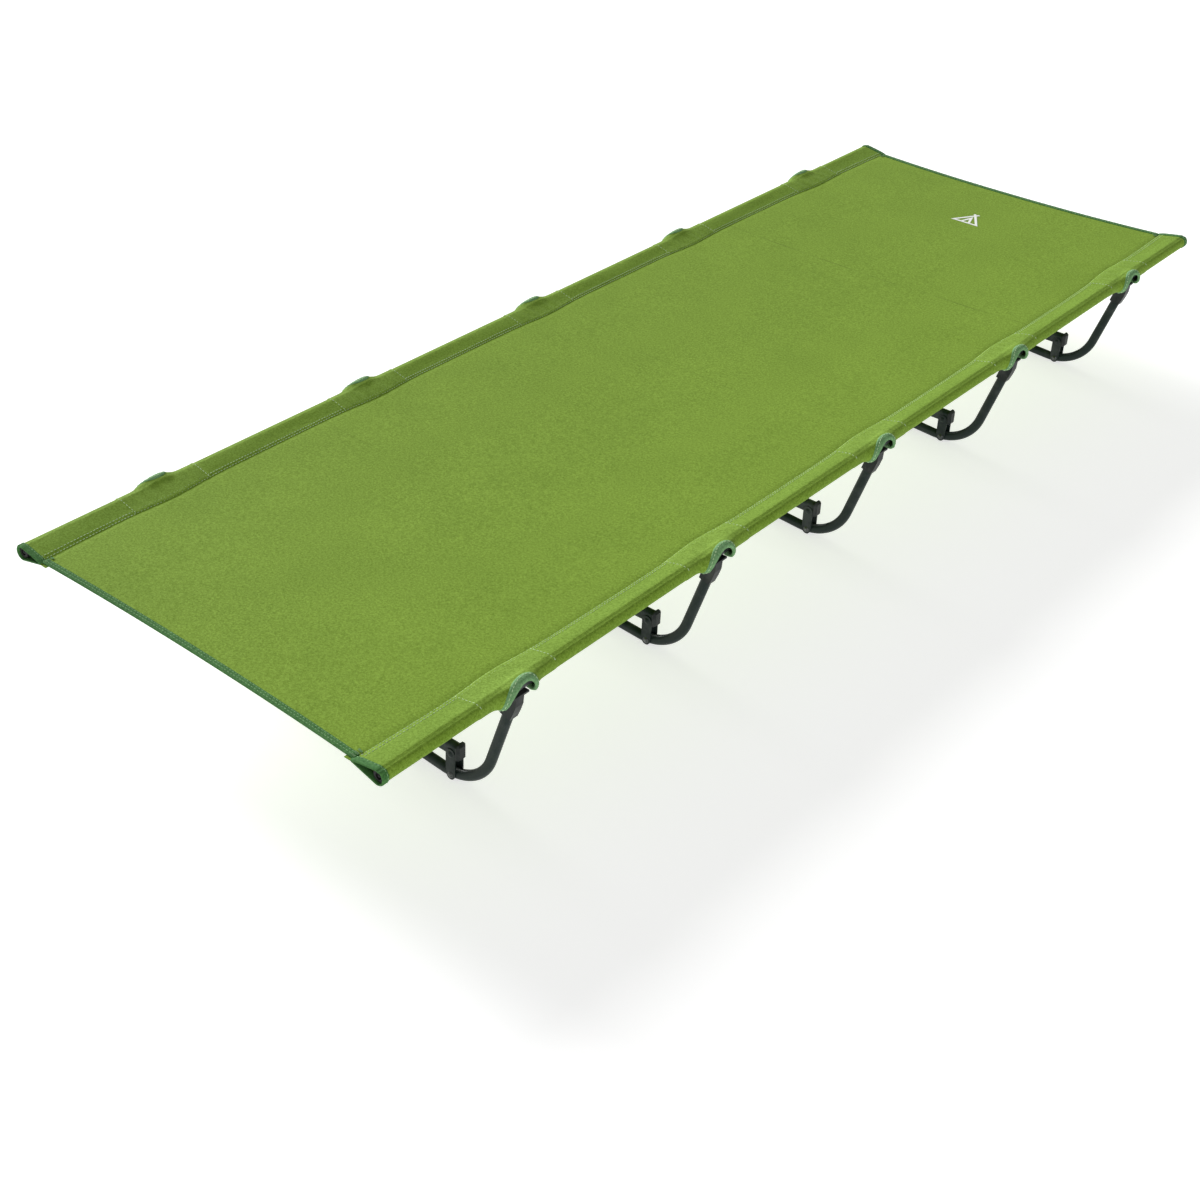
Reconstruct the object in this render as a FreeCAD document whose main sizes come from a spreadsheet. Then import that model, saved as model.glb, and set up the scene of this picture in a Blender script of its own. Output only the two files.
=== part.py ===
"""Low camp cot that packs down: a fabric sling on two side rails, held up and
stretched by five legs. Each leg is a crossbar with a curved tension lever at
each end. The frame: X across the cot, Y along it with the head end at +Y, Z up,
the origin on the ground under the middle. Millimetres and degrees."""
import FreeCAD, Part
import os
import Sketcher
from FreeCAD import Placement, Rotation, Vector

doc = FreeCAD.newDocument("camp_cot")

# ---------------------------------------------------------------- driving sizes
SIZES = {
    "length_all": 1900,      # over the sleeve ends
    "width_all": 640,        # over the tape on the two sleeves
    "rail_height": 180,      # rail centre above the ground
    "rail_dia": 16,
    "rail_wall": 1.2,
    "rail_inset": 3,         # rail end behind the sleeve end
    "rail_clear": 0.3,       # round the rail, in the sleeve and in the clips
    "section_gap": 0.3,      # between two tubes of a rail
    "fabric": 1.2,
    "tape": 0.6,
    "seam_inset": 46,        # sleeve seam in from the outer edge
    "seam_rise": 2,          # sleeve seam above the rail centre
    "sag": 5,                # middle of the panel under its seams
    "end_bow": 8,            # middle of the panel's end, inwards
    "end_step": 3,           # panel end behind the sleeve end
    "hem_width": 11,
    "cut_length": 48,        # opening in the sleeve at each clip
    "cut_top_round": 9,
    "cut_low_reach": 25,     # opening on the underside, in from the outer edge
    "cut_low_round": 14,
    "binding_width": 9,
    "patch_length": 130,
    "leg_pitch": 369,
    "pivot_inset": 100.5,    # lever pivot in from the outer edge
    "pivot_dia": 5,
    "pivot_clear": 0.05,
    "rivet_head": 9,
    "rivet_rise": 1.8,
    "lever_depth": 14,
    "lever_wall": 1.2,
    "lever_radius": 73,      # of the tube's centre line
    "lever_flat": 0.2,       # height of the flat that it stands on
    "lever_start": 11.5,     # lowest point of the curve in from the pivot
    "lever_lean": 17.5,
    "lever_top": 22,         # tube end below the rail centre
    "arm_rise": 3.5,
    "arm_reach": 108,        # inner end of the arm in from the pivot
    "bar_bottom": 33,
    "bar_depth": 20,
    "bar_width": 12,
    "bar_wall": 1.2,
    "bar_end": 8,            # crossbar end out from the pivot
    "side_clear": 0.3,       # lever and catch, each side
    "plate_width": 15,
    "plate_thick": 1.5,
    "plate_tip": 6.5,        # radius round the pivot
    "plate_rivet": 5,        # upper rivet above the crossbar's underside
    "cap_length": 5,
    "cap_over": 1.8,         # cap proud of the crossbar all round
    "cap_chamfer": 3,
    "plug_depth": 12,
    "plug_head": 3,
    "clip_length": 31,       # rail saddle, along the rail
    "clip_wall": 2.6,
    "clip_width": 13.6,      # socket, along the rail
    "clip_skin": 1.1,
    "clip_socket": 42,       # socket mouth below the rail centre
    "clip_wrap": 30,         # inner wall's end above the rail centre, round it
    "catch_length": 15,
    "catch_inset": 92,       # catch centre in from the pivot
    "catch_grip": 12,        # catch up the crossbar's side
    "catch_wall": 2.3,
    "catch_drop": 9,         # catch bottom above the ground
    "ferrule_length": 100,
    "cord_dia": 4,
    "cord_clear": 0.2,
    "knot_dia": 8,
}
LEGS = 5
SECTIONS = 4                 # tubes in one rail
FAR = "400"                  # more than any part's thickness
HALF = "half"

sheet = doc.addObject("Spreadsheet::Sheet", "Sizes")
for row, (alias, number) in enumerate(SIZES.items(), 1):
    sheet.set(f"A{row}", alias)
    sheet.set(f"B{row}", str(number))
    sheet.setAlias(f"B{row}", alias)
doc.recompute()


def ex(text):
    """The same expression with each size read from the sheet."""
    out, word = "", ""
    for mark in f"{text} ":
        if mark.isalnum() or mark == "_":
            word += mark
            continue
        out += (f"Sizes.{word}" if word in SIZES else word) + mark
        word = ""
    return out.strip()


def value(text):
    """The number that an expression gives with the sheet as it is."""
    return float(sheet.evalExpression(ex(text)))


# --------------------------------------------------- places worked out from them
half_width = "(width_all / 2)"
half_length = "(length_all / 2)"
bore_r = "(rail_dia / 2 + rail_clear)"
wrap_r = f"({bore_r} + fabric)"
rail_x = f"({half_width} - tape - {wrap_r})"
rail_z = "rail_height"
seam_x = f"({half_width} - seam_inset)"
seam_z = f"({rail_z} + seam_rise)"
pivot_x = f"({half_width} - pivot_inset)"
curve_x = f"({pivot_x} - lever_start)"
curve_z = "(lever_radius + lever_depth / 2 - lever_flat)"
pivot_z = f"({curve_z} - sqrt(lever_radius ^ 2 - lever_start ^ 2))"
lever_width = "(bar_width - 2 * side_clear)"
arm_x0 = f"({curve_x} - lever_radius * sin(arm_rise))"
arm_z0 = f"({curve_z} - lever_radius * cos(arm_rise))"
arm_x1 = f"({pivot_x} - arm_reach)"
arm_z1 = f"({arm_z0} + ({arm_x0} - {arm_x1}) * tan(arm_rise))"
post_x0 = f"({curve_x} + lever_radius * cos(lever_lean))"
post_z0 = f"({curve_z} - lever_radius * sin(lever_lean))"
post_z1 = f"({rail_z} - lever_top)"
rivet_z = "(bar_bottom + plate_rivet)"
bar_end_x = f"({pivot_x} + bar_end)"
rail_end_y = f"({half_length} - rail_inset)"


def postX(height):
    """Where the middle of the lever's straight outer part is at a height."""
    return f"({post_x0} + ({height} - {post_z0}) * tan(lever_lean))"


post_x1 = postX(post_z1)


# ------------------------------------------------------------------ small tools
def newBody(name, y="0"):
    """A body set along the cot at y."""
    body = doc.addObject("PartDesign::Body", name)
    body.AllowCompound = True
    body.setExpression("Placement.Base.y", ex(y))
    return body


def newSketch(body, role, offset="0", rise="0", tilt="0"):
    """A sketch on one of the body's own planes, lifted off it by offset. Its own
    origin can be raised along the second axis and tilted about the first."""
    plane = next(f for f in body.Origin.OriginFeatures if f.Role == role)
    sketch = body.newObject("Sketcher::SketchObject", f"{body.Name}_sketch")
    sketch.AttachmentSupport = (plane, [""])
    sketch.MapMode = "FlatFace"
    sketch.AttachmentOffset = Placement(Vector(0, 0, 0), Rotation(Vector(1, 0, 0), value(tilt)))
    sketch.setExpression("AttachmentOffset.Base.z", ex(offset))
    sketch.setExpression("AttachmentOffset.Base.y", ex(rise))
    if tilt != "0":
        sketch.setExpression("AttachmentOffset.Rotation.Angle", ex(tilt))
    return sketch


def hold(sketch, geometry, position, first, second):
    """Dimension a sketch point from the origin, one expression each way."""
    for kind, level, text in (("DistanceX", "Vertical", first), ("DistanceY", "Horizontal", second)):
        if text is None:
            continue
        number = value(text)
        if abs(number) < 1e-9:
            sketch.addConstraint(Sketcher.Constraint(level, -1, 1, geometry, position))
            continue
        index = sketch.addConstraint(Sketcher.Constraint(kind, -1, 1, geometry, position, number))
        sketch.setExpression(f"Constraints[{index}]", ex(text))


def circle(sketch, first, second, radius):
    middle = Vector(value(first), value(second), 0)
    index = sketch.addGeometry(Part.Circle(middle, Vector(0, 0, 1), value(radius)))
    size = sketch.addConstraint(Sketcher.Constraint("Radius", index, value(radius)))
    sketch.setExpression(f"Constraints[{size}]", ex(radius))
    hold(sketch, index, 3, first, second)


def outline(sketch, corners, closed=True):
    """Lines and arcs through corners (first, second). A corner that also has a
    radius and a point (radius, first, second) starts an arc through that point.
    With HALF for its radius the arc is a half circle on a level chord."""
    spots = [Vector(value(c[0]), value(c[1]), 0) for c in corners]
    pieces = []
    for n in range(len(corners) if closed else len(corners) - 1):
        here, there = spots[n], spots[(n + 1) % len(corners)]
        if len(corners[n]) > 2:
            radius, first, second = corners[n][2:]
            through = Vector(value(first), value(second), 0)
            index = sketch.addGeometry(Part.Arc(here, through, there))
            near = (sketch.getPoint(index, 1) - here).Length < (sketch.getPoint(index, 2) - here).Length
            pieces.append((index, 1, 2) if near else (index, 2, 1))
            if radius == HALF:
                hold(sketch, index, 3, None, corners[n][1])
            else:
                size = sketch.addConstraint(Sketcher.Constraint("Radius", index, value(radius)))
                sketch.setExpression(f"Constraints[{size}]", ex(radius))
        else:
            index = sketch.addGeometry(Part.LineSegment(here, there))
            pieces.append((index, 1, 2))
    for n, (index, start, end) in enumerate(pieces):
        hold(sketch, index, start, corners[n][0], corners[n][1])
        if closed or n + 1 < len(pieces):
            following = pieces[(n + 1) % len(pieces)]
            sketch.addConstraint(Sketcher.Constraint("Coincident", index, end, following[0], following[1]))
        else:
            hold(sketch, index, end, corners[-1][0], corners[-1][1])


def rectangle(sketch, low, high):
    (x0, z0), (x1, z1) = low, high
    outline(sketch, [(x0, z0), (x1, z0), (x1, z1), (x0, z1)])


def slot(sketch, first, second, width, depth):
    """A flat oval: depth along the second axis, round at both ends."""
    r = f"({width} / 2)"
    flat = f"({depth} / 2 - {r})"
    low, high = f"({second} - {flat})", f"({second} + {flat})"
    left, right = f"({first} - {r})", f"({first} + {r})"
    outline(sketch, [
        (left, low, HALF, first, f"{low} - {r}"),
        (right, low),
        (right, high, HALF, first, f"{high} + {r}"),
        (left, high),
    ])


def pad(body, sketch, length, middle=True, back=False):
    feature = body.newObject("PartDesign::Pad", f"{body.Name}_pad")
    feature.Profile = sketch
    feature.Midplane = middle
    feature.Reversed = back
    feature.setExpression("Length", ex(length))
    body.Tip = feature
    return feature


def pocket(body, sketch, length, middle=True, back=False):
    feature = body.newObject("PartDesign::Pocket", f"{body.Name}_pocket")
    feature.Profile = sketch
    feature.Midplane = middle
    feature.Reversed = back
    feature.setExpression("Length", ex(length))
    body.Tip = feature
    return feature


def turn(body, sketch, axis="V_Axis"):
    feature = body.newObject("PartDesign::Revolution", f"{body.Name}_turn")
    feature.Profile = sketch
    feature.ReferenceAxis = (sketch, [axis])
    body.Tip = feature
    return feature


def cut(name, base, tool):
    feature = doc.addObject("Part::Cut", name)
    feature.Base, feature.Tool = base, tool
    return feature


def common(name, base, tool):
    feature = doc.addObject("Part::Common", name)
    feature.Base, feature.Tool = base, tool
    return feature


def group(name, links):
    feature = doc.addObject("Part::Compound", name)
    feature.Links = links
    return feature


def mirrored(source):
    """The same piece on the other side of the cot."""
    feature = doc.addObject("Part::Mirroring", f"{source.Name}_mirrored")
    feature.Source = source
    feature.Normal = Vector(1, 0, 0)
    return feature


nodes = []


def node(label, feature):
    """Name a finished sub-part."""
    feature.Label = label
    nodes.append(feature)


def pair(label, feature):
    """Name a sub-part on the right and its mirror image on the left."""
    node(label.format("right"), feature)
    node(label.format("left"), mirrored(feature))


def legY(number):
    """Where leg 1 (foot) to 5 (head) stands."""
    return f"({number - (LEGS + 1) / 2} * leg_pitch)"


# ----------------------------------------------------------------------- levers
def makeLever(number):
    """Flat oval tube: a straight arm, one round bend and a leaning post."""
    body = newBody(f"lever_{number}", legY(number))
    route = newSketch(body, "XZ_Plane")
    bend_x = f"({curve_x} + lever_radius * sin(45))"
    bend_z = f"({curve_z} - lever_radius * cos(45))"
    outline(route, [
        (arm_x1, arm_z1),
        (arm_x0, arm_z0, "lever_radius", bend_x, bend_z),
        (post_x0, post_z0),
        (post_x1, post_z1),
    ], closed=False)
    for kind, less in (("PartDesign::AdditivePipe", "0"), ("PartDesign::SubtractivePipe", "2 * lever_wall")):
        section = newSketch(body, "YZ_Plane", arm_x1, arm_z1, "arm_rise")
        slot(section, "0", "0", f"({lever_width} - {less})", f"(lever_depth - {less})")
        pipe = body.newObject(kind, f"{body.Name}_pipe")
        pipe.Profile = section
        pipe.Spine = route
        body.Tip = pipe
    bore = newSketch(body, "XZ_Plane")
    circle(bore, pivot_x, pivot_z, "pivot_dia / 2 + pivot_clear")
    pocket(body, bore, FAR)
    below = newSketch(body, "XZ_Plane")
    rectangle(below, (arm_x1, "0 - lever_depth"), (half_width, "0"))
    pocket(body, below, FAR)
    return body


def makeTipPlug(number):
    """Plug in the arm's inner end, square to the arm."""
    body = newBody(f"tip_plug_{number}", legY(number))
    head = newSketch(body, "YZ_Plane")
    slot(head, "0", "0", lever_width, "lever_depth")
    pad(body, head, "plug_head", middle=False, back=True)
    stem = newSketch(body, "YZ_Plane")
    slot(stem, "0", "0", f"({lever_width} - 2 * lever_wall)", "(lever_depth - 2 * lever_wall)")
    pad(body, stem, "plug_depth", middle=False)
    body.Placement.Rotation = Rotation(Vector(0, 1, 0), value("arm_rise"))
    body.setExpression("Placement.Rotation.Angle", ex("arm_rise"))
    body.setExpression("Placement.Base.x", ex(arm_x1))
    body.setExpression("Placement.Base.z", ex(arm_z1))
    return body


def makeClip(number):
    """Moulded end of a lever: a socket on the tube, a saddle that takes the rail
    from below and from the inner side, and a lip outwards under the rail."""
    body = newBody(f"clip_{number}", legY(number))
    ledge = f"({rail_z} - {bore_r})"
    floor = f"({ledge} - clip_wall)"
    outer_r = f"({bore_r} + clip_wall)"
    lip_x = f"({half_width} - 0.3)"
    saddle = newSketch(body, "XZ_Plane")
    low_in = (f"{rail_x} - {outer_r} * cos(45)", f"{rail_z} - {outer_r} * sin(45)")
    outline(saddle, [
        (lip_x, ledge),
        (rail_x, ledge, bore_r, f"{rail_x} - {bore_r}", rail_z),
        (f"{rail_x} - {bore_r} * cos(clip_wrap)", f"{rail_z} + {bore_r} * sin(clip_wrap)"),
        (f"{rail_x} - {outer_r} * cos(clip_wrap)", f"{rail_z} + {outer_r} * sin(clip_wrap)",
         outer_r, f"{rail_x} - {outer_r}", rail_z),
        (rail_x, floor),
        (lip_x, floor),
    ])
    pad(body, saddle, "clip_length")
    half = "(lever_depth / 2 + clip_skin)"
    mouth_z = f"({rail_z} - clip_socket)"
    mouth_x = postX(mouth_z)
    block = newSketch(body, "XZ_Plane")
    outline(block, [
        (f"{mouth_x} - {half} * cos(lever_lean)", f"{mouth_z} + {half} * sin(lever_lean)"),
        (f"{mouth_x} + {half} * cos(lever_lean)", f"{mouth_z} - {half} * sin(lever_lean)"),
        (f"{postX(f'({mouth_z} + 9)')} + {half} + 1.5", f"{mouth_z} + 9"),
        (f"{lip_x} - 0.8", f"{mouth_z} + 20"),
        (lip_x, floor),
        (f"{postX(floor)} - {half} / cos(lever_lean)", floor),
    ])
    pad(body, block, "clip_width")
    room = newSketch(body, "XZ_Plane")
    depth_x, depth_z = "(lever_depth / 2 * cos(lever_lean))", "(lever_depth / 2 * sin(lever_lean))"
    below_z = f"({mouth_z} - 20)"
    below_x = postX(below_z)
    outline(room, [
        (f"{below_x} - {depth_x}", f"{below_z} + {depth_z}"),
        (f"{below_x} + {depth_x}", f"{below_z} - {depth_z}"),
        (f"{post_x1} + {depth_x}", f"{post_z1} - {depth_z}"),
        (f"{post_x1} - {depth_x}", f"{post_z1} + {depth_z}"),
    ])
    pocket(body, room, lever_width)
    return body


# -------------------------------------------------------------- crossbar and ends
def makeCrossbar(number):
    body = newBody(f"bar_{number}", legY(number))
    middle = "(bar_bottom + bar_depth / 2)"
    section = newSketch(body, "YZ_Plane")
    slot(section, "0", middle, "bar_width", "bar_depth")
    pad(body, section, f"2 * {bar_end_x}")
    inside = newSketch(body, "YZ_Plane")
    slot(inside, "0", middle, "(bar_width - 2 * bar_wall)", "(bar_depth - 2 * bar_wall)")
    pocket(body, inside, f"2 * {bar_end_x} + 2")
    holes = newSketch(body, "XZ_Plane")
    circle(holes, pivot_x, rivet_z, "pivot_dia / 2")
    circle(holes, f"0 - {pivot_x}", rivet_z, "pivot_dia / 2")
    pocket(body, holes, FAR)
    return body


def makePlates(number):
    """The two bracket plates of one end: round over the crossbar's rivet, drawn
    in to a tip round the lever's rivet."""
    body = newBody(f"plates_{number}", legY(number))
    shape = newSketch(body, "XZ_Plane")
    half = "(plate_width / 2)"
    tip = "(plate_tip * cos(20))"
    rise = f"({pivot_z} - plate_tip * sin(20))"
    outline(shape, [
        (f"{pivot_x} - {half}", rivet_z, HALF, pivot_x, f"{rivet_z} + {half}"),
        (f"{pivot_x} + {half}", rivet_z),
        (f"{pivot_x} + {half}", f"{pivot_z} + plate_tip"),
        (f"{pivot_x} + {tip}", rise, "plate_tip", pivot_x, f"{pivot_z} - plate_tip"),
        (f"{pivot_x} - {tip}", rise),
        (f"{pivot_x} - {half}", f"{pivot_z} + plate_tip"),
    ])
    pad(body, shape, "bar_width + 2 * plate_thick")
    gap = newSketch(body, "XY_Plane")
    rectangle(gap, ("0", "0 - bar_width / 2"), (half_width, "bar_width / 2"))
    pocket(body, gap, FAR)
    holes = newSketch(body, "XZ_Plane")
    circle(holes, pivot_x, rivet_z, "pivot_dia / 2")
    circle(holes, pivot_x, pivot_z, "pivot_dia / 2")
    pocket(body, holes, FAR)
    return body


def makeRivet(name, number, height):
    """Shank through both plates with a domed head each side."""
    body = newBody(f"{name}_{number}", legY(number))
    face = "(bar_width / 2 + plate_thick)"
    shank, head = "(pivot_dia / 2)", "(rivet_head / 2)"
    dome = "(rivet_head ^ 2 / 8 / rivet_rise + rivet_rise / 2)"
    profile = newSketch(body, "XY_Plane")
    bulge_x = f"{dome} * sin(25)"
    bulge_y = f"{face} + rivet_rise - {dome} * (1 - cos(25))"
    outline(profile, [
        ("0", f"0 - {face} - rivet_rise", dome, bulge_x, f"0 - ({bulge_y})"),
        (head, f"0 - {face}"),
        (shank, f"0 - {face}"),
        (shank, face),
        (head, face, dome, bulge_x, bulge_y),
        ("0", f"{face} + rivet_rise"),
    ])
    turn(body, profile)
    body.setExpression("Placement.Base.x", ex(pivot_x))
    body.setExpression("Placement.Base.z", ex(height))
    return body


def makeCap(number):
    """Octagonal cap on the crossbar's end with a stem inside the tube."""
    body = newBody(f"cap_{number}", legY(number))
    middle = "(bar_bottom + bar_depth / 2)"
    block = newSketch(body, "YZ_Plane", bar_end_x)
    half_y = "(bar_width / 2 + cap_over)"
    half_z = "(bar_depth / 2 + cap_over)"
    rectangle(block, (f"0 - {half_y}", f"{middle} - {half_z}"), (half_y, f"{middle} + {half_z}"))
    head = pad(body, block, "cap_length", middle=False)
    doc.recompute()
    end_x = value(f"{bar_end_x} + cap_length")
    rims = [f"Edge{n}" for n, e in enumerate(head.Shape.Edges, 1)
            if all(abs(v.X - end_x) < 1e-6 for v in e.Vertexes) or
            abs(e.Vertexes[0].X - e.Vertexes[-1].X) > 1]
    chamfer = body.newObject("PartDesign::Chamfer", f"{body.Name}_chamfer")
    chamfer.Base = (head, rims)
    chamfer.setExpression("Size", ex("cap_chamfer"))
    body.Tip = chamfer
    stem = newSketch(body, "YZ_Plane", bar_end_x)
    slot(stem, "0", middle, "(bar_width - 2 * bar_wall)", "(bar_depth - 2 * bar_wall)")
    pad(body, stem, "bar_end - pivot_dia", middle=False, back=True)
    return body


def makeCatch(number):
    """Moulded piece that grips the crossbar and holds the lever's arm under it
    between two cheeks, open below."""
    body = newBody(f"catch_{number}", legY(number))
    middle_x = f"({pivot_x} - catch_inset)"
    arm_top = f"({arm_z0} + ({arm_x0} - {middle_x}) * tan(arm_rise) + lever_depth / 2 + 2 * side_clear)"
    wide = "(bar_width / 2 + catch_wall)"
    block = newSketch(body, "YZ_Plane", middle_x)
    rectangle(block, (f"0 - {wide}", "catch_drop"), (wide, "bar_bottom + catch_grip"))
    pad(body, block, "catch_length")
    room = newSketch(body, "YZ_Plane", middle_x)
    rectangle(room, ("0 - bar_width / 2", "0"), ("bar_width / 2", f"{arm_top} + 1"))
    pocket(body, room, "catch_length + 2")
    grip = newSketch(body, "YZ_Plane", middle_x)
    slot(grip, "0", "(bar_bottom + bar_depth / 2)", "bar_width", "bar_depth")
    pocket(body, grip, "catch_length + 2")
    return body


# ------------------------------------------------------------------------- rails
def makeRod(name, radius, length, middle="0"):
    """A round bar along the cot on the rail's line."""
    rod = doc.addObject("Part::Cylinder", name)
    rod.Placement.Rotation = Rotation(Vector(1, 0, 0), -90)
    rod.setExpression("Radius", ex(radius))
    rod.setExpression("Height", ex(length))
    rod.setExpression("Placement.Base.x", ex(rail_x))
    rod.setExpression("Placement.Base.y", ex(f"{middle} - ({length}) / 2"))
    rod.setExpression("Placement.Base.z", ex(rail_z))
    return rod


def makeTube(name, outer, inner, length, middle):
    wall = makeRod(f"{name}_wall", outer, length, middle)
    return cut(name, wall, makeRod(f"{name}_bore", inner, f"{length} + 2", middle))


def makeEndPlug(name, side):
    """Rail end plug: a head as wide as the rail and a stem inside it, bored for
    the cord and sunk for its knot. side is 1 at the head end and -1 at the foot."""
    body = doc.addObject("PartDesign::Body", name)
    stem = "(rail_dia / 2 - rail_wall)"
    hole, sink = "(cord_dia / 2 + cord_clear)", "(knot_dia / 2 + cord_clear)"
    deep = "(knot_dia + cord_clear)"
    profile = newSketch(body, "XY_Plane")
    outline(profile, [
        (hole, "0 - plug_depth - plug_head"),
        (stem, "0 - plug_depth - plug_head"),
        (stem, "0 - plug_head"),
        ("rail_dia / 2", "0 - plug_head"),
        ("rail_dia / 2", "0 - 0.8"),
        ("rail_dia / 2 - 0.8", "0"),
        (sink, "0"),
        (sink, f"0 - {deep}"),
        (hole, f"0 - {deep}"),
    ])
    turn(body, profile)
    if side < 0:
        body.Placement.Rotation = Rotation(Vector(0, 0, 1), 180)
    body.setExpression("Placement.Base.x", ex(rail_x))
    body.setExpression("Placement.Base.y", ex(f"{side} * {rail_end_y}"))
    body.setExpression("Placement.Base.z", ex(rail_z))
    return body


def makeCord():
    """Shock cord through the whole rail, with a knot sunk in each end plug."""
    knot_y = f"({rail_end_y} - knot_dia / 2 - cord_clear)"
    shapes = [makeRod("cord_line", "cord_dia / 2", f"2 * {knot_y}")]
    for side in (-1, 1):
        knot = doc.addObject("Part::Sphere", f"cord_knot_{side + 1}")
        knot.setExpression("Radius", ex("knot_dia / 2"))
        knot.setExpression("Placement.Base.x", ex(rail_x))
        knot.setExpression("Placement.Base.y", ex(f"{side} * {knot_y}"))
        knot.setExpression("Placement.Base.z", ex(rail_z))
        shapes.append(knot)
    cord = doc.addObject("Part::MultiFuse", "cord")
    cord.Shapes = shapes
    return cord


# ------------------------------------------------------------------------ fabric
def tangent(radius, top):
    """A sleeve face at a radius round the rail: its point over the seam and the
    point where it meets the round. The top layer is the panel itself, the lower
    layer lies under it at the seam."""
    grown = f"({radius} - {bore_r})"
    rise = f"(seam_rise - fabric / 2 + {grown})" if top else f"(seam_rise - fabric / 2 - {grown})"
    run = f"({rail_x} - {seam_x})"
    turned = f"acos({radius} / sqrt({run} ^ 2 + {rise} ^ 2))"
    angle = f"(180 deg - atan({rise} / {run}) {'-' if top else '+'} {turned})"
    spot = (f"({rail_x} + {radius} * cos({angle}))", f"({rail_z} + {radius} * sin({angle}))")
    return (seam_x, f"({rail_z} + {rise})"), spot


def sleeveProfile(sketch, radius):
    """Drop shape: round the rail and down to the seam."""
    top_seam, top = tangent(radius, True)
    low_seam, low = tangent(radius, False)
    outline(sketch, [
        top_seam,
        (*top, radius, f"{rail_x} + {radius}", rail_z),
        low,
        low_seam,
    ])


def sleeveSolid(name, radius, length):
    body = newBody(name)
    profile = newSketch(body, "XZ_Plane")
    sleeveProfile(profile, radius)
    pad(body, profile, length)
    return body


def arch(sketch, number, inner_x, rounding, grow):
    """Plan of a cut-out, open outwards, with round inner corners; grow widens it."""
    y, half = legY(number), f"(cut_length / 2 + {grow})"
    reach, r = f"({inner_x} - {grow})", f"({rounding} + {grow})"
    away = f"({half_width} + 20)"
    corner = f"{r} * (1 - cos(45))"
    outline(sketch, [
        (away, f"{y} - {half}"),
        (f"{reach} + {r}", f"{y} - {half}", r, f"{reach} + {corner}", f"{y} - {half} + {corner}"),
        (reach, f"{y} - {half} + {r}"),
        (reach, f"{y} + {half} - {r}", r, f"{reach} + {corner}", f"{y} + {half} - {corner}"),
        (f"{reach} + {r}", f"{y} + {half}"),
        (away, f"{y} + {half}"),
    ])


def archSolid(name, grow):
    """All five cut-outs as prisms: shallow over the rail, deeper under it."""
    body = newBody(name)
    for number in range(1, LEGS + 1):
        upper = newSketch(body, "XY_Plane", rail_z)
        arch(upper, number, rail_x, "cut_top_round", grow)
        pad(body, upper, "60", middle=False)
        lower = newSketch(body, "XY_Plane", rail_z)
        arch(lower, number, f"({half_width} - cut_low_reach)", "cut_low_round", grow)
        pad(body, lower, "60", middle=False, back=True)
    return body


def makeSleeve():
    """Sleeve with the rail's bore, the cut-outs and room for the clips' walls."""
    body = sleeveSolid("sleeve_wrap", wrap_r, "length_all - 2 * tape")
    bore = newSketch(body, "XZ_Plane")
    circle(bore, rail_x, rail_z, bore_r)
    pocket(body, bore, "length_all + 10")
    top_seam, top = tangent(bore_r, True)
    inner_x = f"({half_width} - cut_low_reach)"
    slope = f"(({top[1]} - {top_seam[1]}) / ({top[0]} - {top_seam[0]}))"
    for number in range(1, LEGS + 1):
        room = newSketch(body, "XZ_Plane", f"0 - {legY(number)}")
        outline(room, [
            (inner_x, f"{rail_z} - 20"),
            (inner_x, f"{top_seam[1]} + ({inner_x} - {top_seam[0]}) * {slope}"),
            top,
            (rail_x, rail_z),
            (rail_x, f"{rail_z} - 20"),
        ])
        pocket(body, room, "cut_length - 2 * cut_low_round + 18")
    return body


def panelProfile(sketch, over):
    """Section of the panel across the cot: a shallow sag, over thicker each way."""
    half = f"(fabric / 2 + {over})"
    low = f"({seam_z} - {half})"
    high = f"({seam_z} + {half})"
    bend = f"(({seam_x} ^ 2 + sag ^ 2) / 2 / sag)"
    edge = f"({seam_x} - {over})"
    outline(sketch, [
        (f"0 - {edge}", low, bend, "0", f"{low} - sag"),
        (edge, low),
        (edge, high, bend, "0", f"{high} - sag"),
        (f"0 - {edge}", high),
    ])


def endCurve(sketch, back_at_seam, back_at_middle, out):
    """Region beyond the panel's curved ends, or inside them where out is False."""
    ends = []
    for side in (-1, 1):
        seam_y = f"({side} * ({half_length} - {back_at_seam}))"
        middle_y = f"({side} * ({half_length} - {back_at_middle}))"
        ends.append((seam_y, middle_y))
    bow = f"({back_at_middle} - {back_at_seam})"
    bend = f"(({half_width} ^ 2 + {bow} ^ 2) / 2 / {bow})"
    (foot_y, foot_mid), (head_y, head_mid) = ends
    if out:
        rectangle(sketch, (f"0 - {half_width} - 10", f"0 - {half_length} - 10"),
                  (f"{half_width} + 10", f"{half_length} + 10"))
    outline(sketch, [
        (f"0 - {half_width}", foot_y, bend, "0", foot_mid),
        (half_width, foot_y),
        (half_width, head_y, bend, "0", head_mid),
        (f"0 - {half_width}", head_y),
    ])


def makePanel():
    body = newBody("panel")
    section = newSketch(body, "XZ_Plane")
    panelProfile(section, "0")
    pad(body, section, "length_all")
    ends = newSketch(body, "XY_Plane")
    endCurve(ends, "(end_step + tape)", "(end_step + tape + end_bow)", True)
    pocket(body, ends, "3 * rail_height")
    return body


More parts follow.
